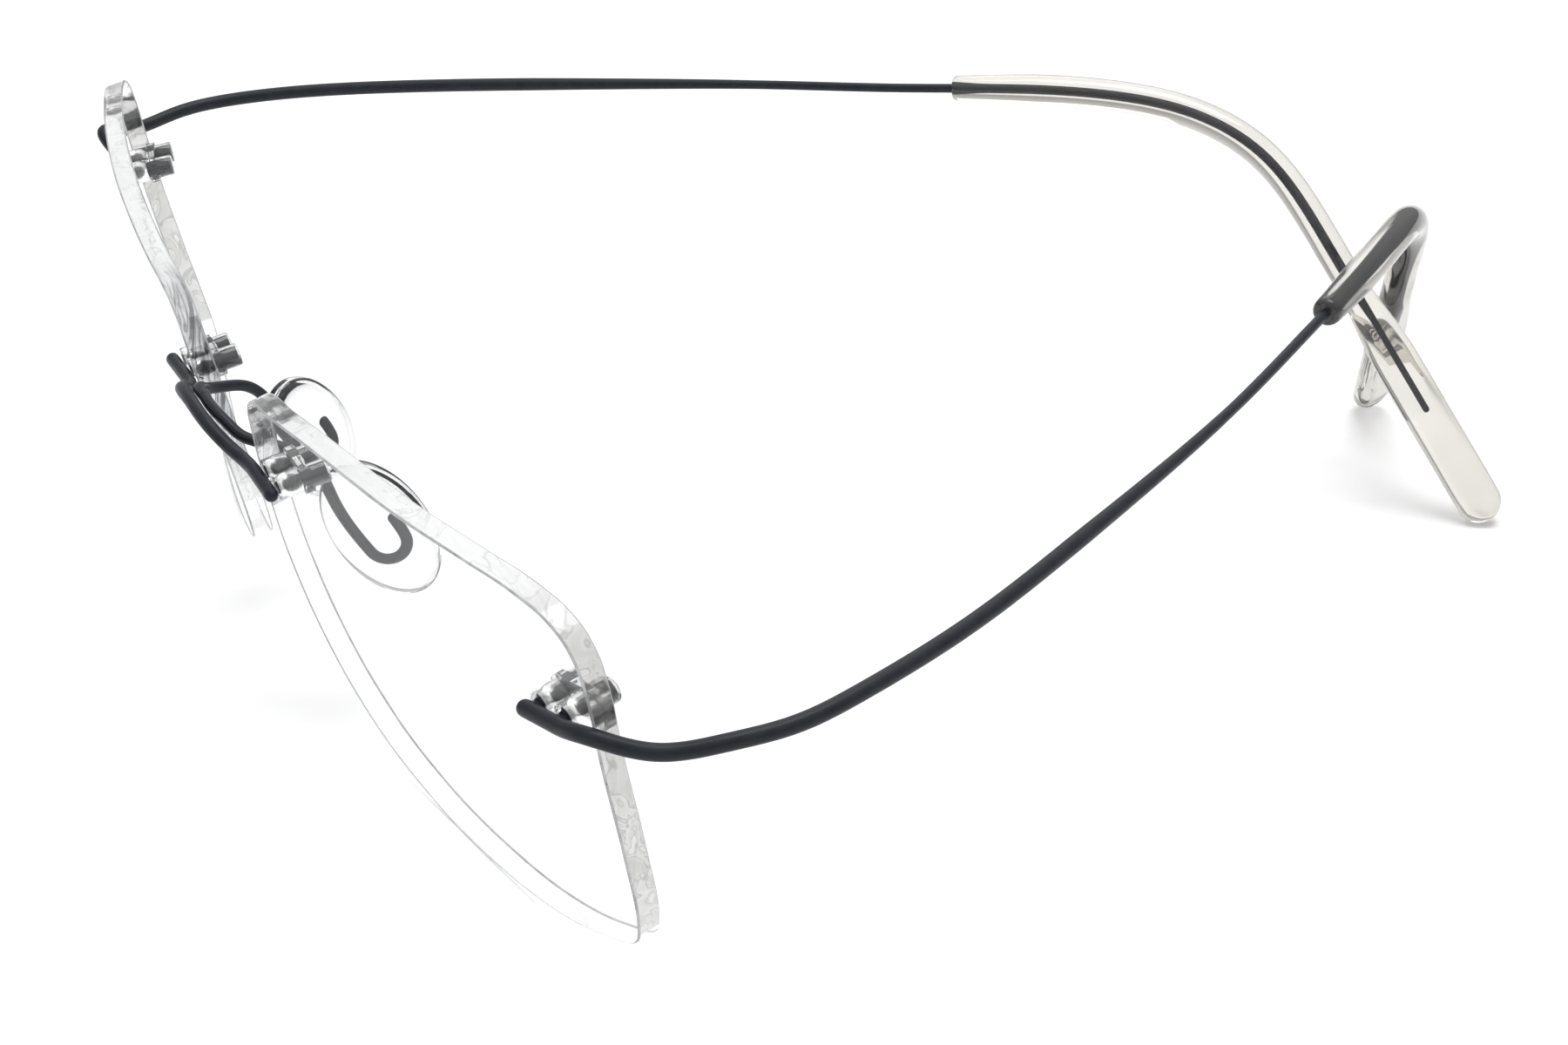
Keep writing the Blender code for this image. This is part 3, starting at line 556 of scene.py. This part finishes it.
def lens_frame(side):
    centre = Vector((side * LENS_CENTRE.x, LENS_CENTRE.y, LENS_CENTRE.z))
    turn = Euler((PANTOSCOPIC_TILT, side * LENS_ROLL, side * FACE_WRAP), "XYZ").to_matrix()
    rest = Matrix.Translation(centre) @ turn.to_4x4() @ Matrix.Rotation(math.pi / 2, 4, "X")
    pivot = Matrix.Translation((side * BRIDGE_SEAT.x, BRIDGE_SEAT.y, BRIDGE_SEAT.z))
    sag = Euler(LENS_SAG[side], "XYZ").to_matrix().to_4x4()
    return pivot @ sag @ pivot.inverted() @ rest


def front_height(across, up):
    return math.sqrt(BASE_RADIUS**2 - across**2 - up**2) - BASE_RADIUS


def seat(side, middle):
    """Matrix of a pair of pins: Z straight out of the front surface, X along the pair."""
    across, up = side * middle.x, middle.y
    depth = math.sqrt(BASE_RADIUS**2 - across**2 - up**2)
    turn = Vector((0, 0, 1)).rotation_difference(Vector((across, up, depth)))
    spot = Matrix.Translation((across, up, depth - BASE_RADIUS))
    slope = PIN_SLOPE["temple" if middle.x > 0 else "bridge"]
    rise = Matrix.Rotation(side * slope, 4, "Z")
    return lens_frame(side) @ spot @ turn.to_matrix().to_4x4() @ rise


def closed_outline():
    """The lens outline as a smooth closed curve with the same handles as the CAD outline."""
    curve = bpy.data.curves.new("outline", "CURVE")
    curve.dimensions = "2D"
    curve.resolution_u = OUTLINE_STEPS
    spline = curve.splines.new("BEZIER")
    spline.bezier_points.add(len(LENS_OUTLINE) - 1)
    for point, (across, up) in zip(spline.bezier_points, LENS_OUTLINE):
        point.co = (across * MM, up * MM, 0)
        point.handle_left_type = point.handle_right_type = "AUTO"
    spline.use_cyclic_u = True
    helper = bpy.data.objects.new("outline", curve)
    bpy.context.scene.collection.objects.link(helper)
    mesh = bpy.data.meshes.new_from_object(helper)
    points = [vert.co.copy() for vert in mesh.vertices]
    bpy.data.objects.remove(helper)
    bpy.data.meshes.remove(mesh)
    return [Vector((point.x, point.y)) for point in points]


def lens(side, outline):
    """Dense front and back surfaces joined by a rim with safety bevels."""

    def ring(share, inset, back):
        made = []
        for point in outline:
            spot = point * share
            spot -= point.normalized() * inset
            height = front_height(spot.x, spot.y) - (LENS_THICKNESS if back else 0.0)
            made.append((side * spot.x, spot.y, height))
        return made

    def rim(depth):
        return [
            (side * point.x, point.y, front_height(point.x, point.y) - depth)
            for point in outline
        ]

    rings = [ring(share, 0.0, False) for share in LENS_RING_SHARES]
    rings.append(ring(1.0, SAFETY_BEVEL, False))
    rim_from = len(rings)
    span = LENS_THICKNESS - 2 * SAFETY_BEVEL
    rings += [rim(SAFETY_BEVEL + span * i / RIM_STEPS) for i in range(RIM_STEPS + 1)]
    rim_to = len(rings)
    rings.append(ring(1.0, SAFETY_BEVEL, True))
    rings += [ring(share, 0.0, True) for share in reversed(LENS_RING_SHARES)]
    bm = bmesh.new()
    skin(bm, rings)
    bm.faces.ensure_lookup_table()
    count = len(outline)
    ahead = [outline[(i + 1) % count] - outline[i] for i in range(count)]
    heading = math.copysign(1, sum(a.cross(b) for a, b in zip(outline, outline[1:])))
    downward = [heading * step.x / step.length > DOWNWARD_RIM for step in ahead]
    clear_below = {LEFT: CLEAR_RIM_BELOW, RIGHT: -math.inf}[side]
    below_bridge = [point.x < 0 and point.y < clear_below for point in outline]
    looks = [LENS_CLEAR, LENS_EDGE, LENS_BEVEL, LENS_LOWER]
    around = [
        looks.index(LENS_LOWER if down or nasal else LENS_EDGE)
        for down, nasal in zip(downward, below_bridge)
    ]
    for band in range(rim_from - 1, rim_to):
        bevel = band in (rim_from - 1, rim_to - 1)
        for look, face in zip(around, bm.faces[band * count:(band + 1) * count]):
            face.material_index = looks.index(LENS_BEVEL) if bevel else look
    bmesh.ops.transform(bm, matrix=STANCE @ lens_frame(side), verts=bm.verts)
    name = SIDE_NAMES[side]
    made = finish_mesh(bm, f"lens_{name}_shell", looks, sharp=30)
    for middle in (BRIDGE_PINS, TEMPLE_PINS):
        for across in PIN_PAIR:
            drill(made, STANCE @ seat(side, middle) @ Matrix.Translation((across, 0, 0)))
    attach(made, "front")
    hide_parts(f"lens_{name}")


def drill(obj, frame_matrix):
    """Cuts one pin hole through a lens."""
    bm = bmesh.new()
    bmesh.ops.create_cone(
        bm, cap_ends=True, segments=DRILL_SIDES, depth=DRILL_LENGTH,
        radius1=LENS_HOLE_RADIUS, radius2=LENS_HOLE_RADIUS,
    )
    bmesh.ops.transform(bm, matrix=frame_matrix, verts=bm.verts)
    cut_with(obj, finish_mesh(bm, "drill", [LENS_EDGE]), "DIFFERENCE")


def cut_with(obj, cutter, operation):
    """One exact Boolean, applied at once; the cutter is used up."""
    step = obj.modifiers.new("step", "BOOLEAN")
    step.operation = operation
    step.object = cutter
    step.solver = "EXACT"
    step.material_mode = "TRANSFER"
    graph = bpy.context.evaluated_depsgraph_get()
    mesh = bpy.data.meshes.new_from_object(obj.evaluated_get(graph))
    obj.modifiers.clear()
    obj.data = mesh
    bpy.data.objects.remove(cutter)


# ---------------------------------------------------------------- wires, pads, sleeves

def sided(point, side):
    return Vector((side * point.x, point.y, point.z))


def mirrored(points, side):
    return [Vector((side * x, y, z)) * MM for x, y, z in points]


def on_lens_run(side, middle, radius, ends):
    """The straight stretch of a wire that lies on the lens over its two pins."""
    place = seat(side, middle)
    height = radius + WIRE_STANDOFF
    reach = (-PIN_PITCH / 2 - ends[0], *PIN_PAIR, PIN_PITCH / 2 + ends[1])
    return [place @ Vector((side * across, 0, height)) for across in reach]


def bridge():
    half = mirrored(BRIDGE_ARCH, LEFT)
    half += on_lens_run(LEFT, BRIDGE_PINS, BRIDGE_RADIUS, (BRIDGE_START, BRIDGE_END))
    points = [sided(point, RIGHT) for point in reversed(half[1:])] + half
    path = to_world(smooth(points, BRIDGE_STEP))
    made = tube("bridge_wire_bent", path, BRIDGE_RADIUS, WIRE)
    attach(made, "front")
    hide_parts("bridge_wire")


def pad_frame(side):
    """Design-frame axes of a nose pad: its face's normal, up along it, and back across it."""
    normal = sided(PAD_NORMAL, side).normalized()
    up = sided(PAD_UP, side)
    up = (up - up.dot(normal) * normal).normalized()
    back = normal.cross(up)
    if back.y < 0:
        back.negate()
    return normal, up, back


def pad_point(side, up, back, out=0.0):
    normal, upward, backward = pad_frame(side)
    return sided(PAD_CENTRE, side) + up * upward + back * backward + out * normal


def pad_wire_path(side):
    low, back = HOOK_MIDDLE
    hook = [pad_point(side, HOOK_LEG_TOP, back - HOOK_RADIUS)]
    for i in range(HOOK_STEPS + 1):
        angle = math.pi * i / HOOK_STEPS
        up = low - HOOK_RADIUS * math.sin(angle)
        hook.append(pad_point(side, up, back - HOOK_RADIUS * math.cos(angle)))
    hook.append(pad_point(side, HOOK_END, back + HOOK_RADIUS))
    points = mirrored(PAD_WIRE_ARCH, side) + [sided(PAD_FLEX, side)] + mirrored(PAD_ARM, side)
    return smooth(points + hook, PAD_WIRE_STEP)


def pad_wire(side):
    """One half of the pad wire, bending beside the bridge where the CAD arm flexes."""
    path = pad_wire_path(side)
    middle = nearest_length(path, sided(PAD_FLEX, side))
    name = SIDE_NAMES[side]
    made = tube(f"pad_wire_{name}_bent", to_world(path), PAD_WIRE_RADIUS, WIRE, ball_start=False)
    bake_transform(made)
    nodes = [f"pad_arm_{name}"] + (["pad_wire_centre"] if side == LEFT else [])
    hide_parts(*nodes)


def nose_pad(side):
    """A clear oval with a domed back, a nearly flat face and a soft rim."""
    rings = []
    for i in range(1, PAD_LAYERS):
        turn = math.pi * i / PAD_LAYERS
        size = math.sin(turn) ** PAD_RIM_POWER
        out = math.copysign(abs(math.cos(turn)) ** PAD_FACE_POWER, math.cos(turn))
        ring = []
        for k in range(PAD_SIDES):
            angle = 2 * math.pi * k / PAD_SIDES
            ring.append(pad_point(
                side,
                size * PAD_HALF_LENGTH * math.cos(angle),
                size * PAD_HALF_WIDTH * math.sin(angle),
                out * PAD_HALF_THICKNESS,
            ))
        rings.append(to_world(ring))
    bm = bmesh.new()
    skin(bm, rings)
    name = SIDE_NAMES[side]
    made = finish_mesh(bm, f"nose_pad_{name}_oval", [PAD_PLASTIC], sharp=60)
    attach(made, f"pad_{name}")
    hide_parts(f"nose_pad_{name}")


def temple_path(side):
    """Centre line of a whole temple, from its end on the lens to the end of its tip."""
    points = on_lens_run(side, TEMPLE_PINS, TEMPLE_RADIUS, (TEMPLE_END, TEMPLE_START))
    points += mirrored(TEMPLE_ROUNDS_EDGE, side) + [sided(TEMPLE_FLEX, side)]
    points += mirrored(TEMPLE_RUN + EAR_BEND[side], side)
    path = smooth(points, TEMPLE_STEP)
    direction = np.array(sided(TIP_DIRECTION[side], side).normalized())
    steps = np.linspace(0, TIP_STRAIGHT, TIP_STEPS)[1:, None]
    return np.vstack([path, path[-1] + steps * direction])


def swung(path, side):
    """Swings the part behind the flex to its rest place; the flex zone takes it up smoothly."""
    pivot = np.array(sided(TEMPLE_FLEX, side))
    along = lengths(path)
    middle = nearest_length(path, pivot)
    share = np.clip((along - middle + FLEX_ZONE) / (2 * FLEX_ZONE), 0, 1)
    share = share * share * (3 - 2 * share)
    angle = side * REST_SWING[side] * share
    flat = path[:, :2] - pivot[:2]
    turned = np.stack([
        flat[:, 0] * np.cos(angle) - flat[:, 1] * np.sin(angle),
        flat[:, 0] * np.sin(angle) + flat[:, 1] * np.cos(angle),
        path[:, 2],
    ], axis=1)
    turned[:, :2] += pivot[:2]
    return turned


def temple_wire(side):
    whole = temple_path(side)
    radii = (whole[:, 1] - TEMPLE_THINS_FROM) / (TEMPLE_THINS_TO - TEMPLE_THINS_FROM)
    radii = TEMPLE_RADIUS + (TEMPLE_THIN_RADIUS - TEMPLE_RADIUS) * np.clip(radii, 0, 1)
    past_mouth = lengths(whole) - (lengths(whole)[-1] - SLEEVE_LENGTH)
    radii += (CORE_RADIUS - TEMPLE_THIN_RADIUS) * np.clip(past_mouth / CORE_THINS_OVER, 0, 1)
    path = swung(whole, side)
    total = lengths(path)[-1]
    wanted = np.concatenate([
        np.arange(0, FINE_RINGS_UNTIL, FINE_RING_STEP),
        np.arange(FINE_RINGS_UNTIL, total - CORE_END_FROM_TIP, COARSE_RING_STEP),
    ])
    radii = np.interp(wanted, lengths(path), radii)
    path = at_length(path, wanted)
    middle = nearest_length(path, np.array(sided(TEMPLE_FLEX, side)))
    name = SIDE_NAMES[side]
    made = tube(f"temple_wire_{name}_bent", to_world(path), radii, WIRE)
    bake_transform(made)
    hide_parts(f"temple_wire_{name}", f"temple_root_{name}")


def sleeve_ring(side, whole, length, half_width, half_thickness, size):
    """A ring round the temple: a circle that may stretch into a flat with round ends."""
    spot = at_length(whole, length)
    ahead = at_length(whole, min(length + SLEEVE_TANGENT_REACH, lengths(whole)[-1]))
    behind = at_length(whole, length - SLEEVE_TANGENT_REACH)
    along = Vector(ahead - behind).normalized()
    out = Vector((side, 0, 0))
    out = (out - out.dot(along) * along).normalized()
    across = along.cross(out)
    ring = []
    for i in range(SLEEVE_SIDES):
        angle = 2 * math.pi * (i + 0.5) / SLEEVE_SIDES
        flat = math.copysign(half_width - half_thickness, math.cos(angle))
        wide = float(size * (flat + half_thickness * math.cos(angle)))
        thick = float(size * half_thickness * math.sin(angle))
        ring.append(Vector(spot) + wide * across + thick * out)
    return ring


def temple_sleeve(side):
    """A clear round sleeve that flattens into a paddle with a rounded tip."""
    whole = temple_path(side)
    total = lengths(whole)[-1]
    mouth = total - SLEEVE_LENGTH
    rings = []
    plain_rings = int((SLEEVE_LENGTH / MM - SLEEVE_RINGS_SHORT_BY) / SLEEVE_RING_STEP)
    stations = list(MOUTH_RINGS)
    stations += [(SLEEVE_RINGS_FROM + SLEEVE_RING_STEP * i, 1.0) for i in range(plain_rings)]
    for station, size in stations:
        from_mouth = station * MM
        to_tip = SLEEVE_LENGTH - from_mouth
        wide = np.clip((PADDLE_LENGTH + PADDLE_TAPER - to_tip) / PADDLE_TAPER, 0, 1)
        wide = wide * wide * (3 - 2 * wide)
        grown = np.clip(from_mouth / MOUTH_GROWS_OVER, 0, 1)
        radius = SLEEVE_MOUTH_RADIUS + (SLEEVE_RADIUS - SLEEVE_MOUTH_RADIUS) * grown
        half_width = radius + (PADDLE_HALF_WIDTH - radius) * wide
        half_thickness = radius + (PADDLE_HALF_THICKNESS - radius) * wide
        rings.append(sleeve_ring(
            side, whole, mouth + from_mouth, half_width, half_thickness, size
        ))
    for angle in TIP_END_ANGLES:
        turn = math.radians(angle)
        from_end = PADDLE_HALF_WIDTH * (1 - math.sin(turn))
        half_width = PADDLE_HALF_WIDTH * math.cos(turn)
        half_thickness = min(PADDLE_HALF_THICKNESS, half_width)
        rings.append(sleeve_ring(side, whole, total - from_end, half_width, half_thickness, 1.0))
    bm = bmesh.new()
    skin(bm, [to_world(ring, side, swing=True) for ring in rings])
    name = SIDE_NAMES[side]
    made = finish_mesh(bm, f"temple_sleeve_{name}_clear", [SLEEVE_PLASTIC], sharp=50)
    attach(made, f"temple_{name}")
    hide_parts(f"temple_sleeve_{name}")


# ---------------------------------------------------------------- pins and bushings

def bushing(side, middle, joint_name):
    """Two clear tubes moulded to a plate behind the lens; the pins are cast in."""
    place = STANCE @ seat(side, middle)
    rim = []
    for end in (1, -1):
        for i in range(WEB_END_STEPS + 1):
            angle = math.pi * (i / WEB_END_STEPS - 0.5) + (0 if end == 1 else math.pi)
            across = end * PIN_PITCH / 2 + WEB_HALF_WIDTH * math.cos(angle)
            rim.append((across, WEB_HALF_WIDTH * math.sin(angle)))
    top = -LENS_THICKNESS - WEB_GAP
    layers = (
        (0.0, WEB_FACE_SIZE), (WEB_BEVEL, 1.0),
        (WEB_THICKNESS - WEB_BEVEL, 1.0), (WEB_THICKNESS, WEB_FACE_SIZE),
    )
    bm = bmesh.new()
    skin(bm, [
        [place @ Vector((x * size, y * size, top - depth)) for x, y in rim]
        for depth, size in layers
    ])
    name = f"bushing_{joint_name}_{SIDE_NAMES[side]}"
    made = finish_mesh(bm, f"{name}_cast", [BUSHING_PLASTIC])
    foot = -LENS_THICKNESS - BUSHING_REACH
    sections = [(-BUSHING_BELOW_FRONT, BUSHING_RADIUS)]
    sections += [(foot + above, BUSHING_RADIUS - drawn_in) for above, drawn_in in BUSHING_FOOT]
    turns = [2 * math.pi * k / BUSHING_SIDES for k in range(BUSHING_SIDES)]
    for across in PIN_PAIR:
        bm = bmesh.new()
        skin(bm, [
            [place @ Vector((across + radius * math.cos(turn), radius * math.sin(turn), height))
             for turn in turns]
            for height, radius in sections
        ])
        cut_with(made, finish_mesh(bm, "tube", [BUSHING_PLASTIC]), "UNION")
    made.data.set_sharp_from_angle(angle=math.radians(40))
    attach(made, "front")
    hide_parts(name)


def dress(node, material):
    """A carried-over CAD node takes a detailed material."""
    obj = frame["nodes"][node]
    obj.data.materials.clear()
    obj.data.materials.append(material)


# ---------------------------------------------------------------- stage

def area_light(name, place, size, power, colour):
    """A soft rectangular light aimed at the middle of the floor."""
    data = bpy.data.lights.new(name, "AREA")
    data.shape = "RECTANGLE"
    data.size, data.size_y = size
    data.energy = power
    data.color = colour
    made = bpy.data.objects.new(name, data)
    made.location = place
    made.rotation_euler = (-Vector(place)).to_track_quat("-Z", "Y").to_euler()
    bpy.context.scene.collection.objects.link(made)


def floor():
    bm = bmesh.new()
    bmesh.ops.create_circle(bm, cap_ends=True, segments=FLOOR_SIDES, radius=FLOOR_RADIUS)
    made = finish_mesh(bm, "floor", [floor_material()])


def world():
    """A bright ceiling over a darker horizon, which gives the clear edges something to show."""
    made = bpy.data.worlds.new("studio")
    made.use_nodes = True
    bpy.context.scene.world = made
    tree = made.node_tree
    background = tree.nodes["Background"]
    coords = tree.nodes.new("ShaderNodeTexCoord")
    split = tree.nodes.new("ShaderNodeSeparateXYZ")
    tree.links.new(coords.outputs["Generated"], split.inputs["Vector"])
    sky = ramp(tree, split.outputs["Z"], ((0.0, 0.38), (0.25, 0.60), (0.7, 1.0)))
    tree.links.new(sky, background.inputs["Color"])
    background.inputs["Strength"].default_value = 1.0


def camera():
    """The viewpoint, given in a level frame pitched under the bridge."""
    level = STANCE @ Matrix.Rotation(CAMERA_LEVEL, 4, "X")
    ahead = Vector((
        -math.sin(CAMERA_AZIMUTH) * math.cos(CAMERA_ELEVATION),
        math.cos(CAMERA_AZIMUTH) * math.cos(CAMERA_ELEVATION),
        -math.sin(CAMERA_ELEVATION),
    ))
    across = ahead.cross(Vector((0, 0, 1))).normalized()
    down = ahead.cross(across)
    right = math.cos(CAMERA_ROLL) * across + math.sin(CAMERA_ROLL) * down
    up = math.sin(CAMERA_ROLL) * across - math.cos(CAMERA_ROLL) * down
    turn = level.to_3x3() @ Matrix((right, up, -ahead)).transposed()
    data = bpy.data.cameras.new("camera")
    data.lens = CAMERA_LENS
    data.sensor_width = CAMERA_SENSOR
    data.shift_x, data.shift_y = CAMERA_SHIFT
    data.clip_start = CAMERA_CLIP_START
    made = bpy.data.objects.new("camera", data)
    made.matrix_world = Matrix.Translation(level @ CAMERA_PLACE) @ turn.to_4x4()
    bpy.context.scene.collection.objects.link(made)
    bpy.context.scene.camera = made


WIRE = wire_material()
LENS_CLEAR = lens_material()
LENS_EDGE = lens_edge_material()
LENS_BEVEL = lens_bevel_material()
LENS_LOWER = lens_lower_edge_material()
# The second colour of each plastic is its painted rim shade, mixed in where the surface is seen edge
# on.
SLEEVE_PLASTIC = plastic_material(
    "sleeve_plastic", (0.78, 0.76, 0.71), (0.20, 0.185, 0.155), (0.01, 0.05), (0.96, 0.99)
)
PAD_PLASTIC = plastic_material(
    "pad_plastic", (0.95, 0.955, 0.955), (0.40, 0.41, 0.42), (0.0, 0.03), (0.985, 1.0)
)
BUSHING_PLASTIC = plastic_material(
    "bushing_plastic", (0.82, 0.83, 0.83), (0.28, 0.29, 0.30), (0.02, 0.10), (0.9, 0.98)
)

outline = closed_outline()
bridge()
for this_side in (LEFT, RIGHT):
    lens(this_side, outline)
    pad_wire(this_side)
    nose_pad(this_side)
    temple_wire(this_side)
    temple_sleeve(this_side)
    bushing(this_side, BRIDGE_PINS, "bridge")
    bushing(this_side, TEMPLE_PINS, "temple")
for node in frame["nodes"]:
    if node.startswith("pin_"):
        dress(node, WIRE)

floor()
world()
area_light("ceiling", **CEILING)
area_light("window", **WINDOW)
camera()
bpy.context.scene.view_settings.view_transform = "Standard"
